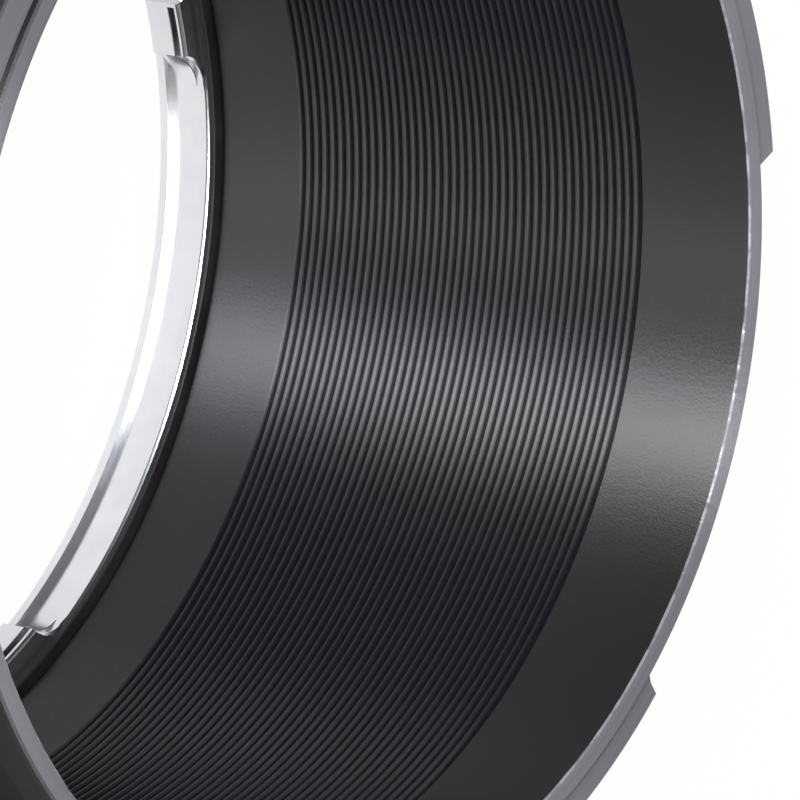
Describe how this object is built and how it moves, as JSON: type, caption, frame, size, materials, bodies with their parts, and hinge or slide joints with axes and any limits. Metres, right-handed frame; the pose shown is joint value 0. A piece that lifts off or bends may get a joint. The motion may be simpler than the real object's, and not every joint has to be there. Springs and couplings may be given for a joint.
{
  "type": "lens mount adapter",
  "caption": "Short black tube that carries a bayonet lens on a shorter camera body: lugged camera-side bayonet, finely grooved bore, bright clawed lens-side ring, sprung lock pin.",
  "frame": {"origin": "on the optical axis, level with the tip of the lock pin, the lowest point; the bright ring's flat face lies 0.9 mm above it", "axes": "+Z is the optical axis and points out of the camera side; +Y points to the index beads"},
  "size_m": [0.0648, 0.0648, 0.0326],
  "materials": {
    "black_anodised_bayonet": "black anodised, satin, worn bright along the rim's inner edge",
    "black_anodised_bore": "black anodised, fine turned grooves, satin between them",
    "black_anodised_barrel": "black anodised, fine satin",
    "bright_chromed_ring": "bright chromed brass with light turning marks",
    "black_screw_steel": "black oxide",
    "bright_screw_steel": "bright, fine turned",
    "spring_steel": "drawn wire",
    "index_enamel": "gloss red enamel"
  },
  "bodies": {
    "adapter": {"camera_bayonet": "black_anodised_bayonet", "baffle_sleeve": "black_anodised_bore", "barrel": "black_anodised_barrel", "lens_bayonet": "bright_chromed_ring", "camera_bayonet_screws": "black_screw_steel", "lens_bayonet_screws": "bright_screw_steel", "lock_spring": "spring_steel", "lens_stop_pin": "bright_screw_steel", "camera_index_bead": "index_enamel", "lens_index_bead": "index_enamel"},
    "release": {"lock_pin": "bright_screw_steel", "release_knob": "black_anodised_barrel", "release_screw": "black_screw_steel"}
  },
  "joints": [
    {"name": "release_slide", "type": "slide", "parent": "adapter", "child": "release", "axis": [0, 0, 1], "range_m": [0, 0.0012], "stiffness_N_per_m": 600, "springref_m": -0.002, "deforming": ["lock_spring"]}
  ]
}
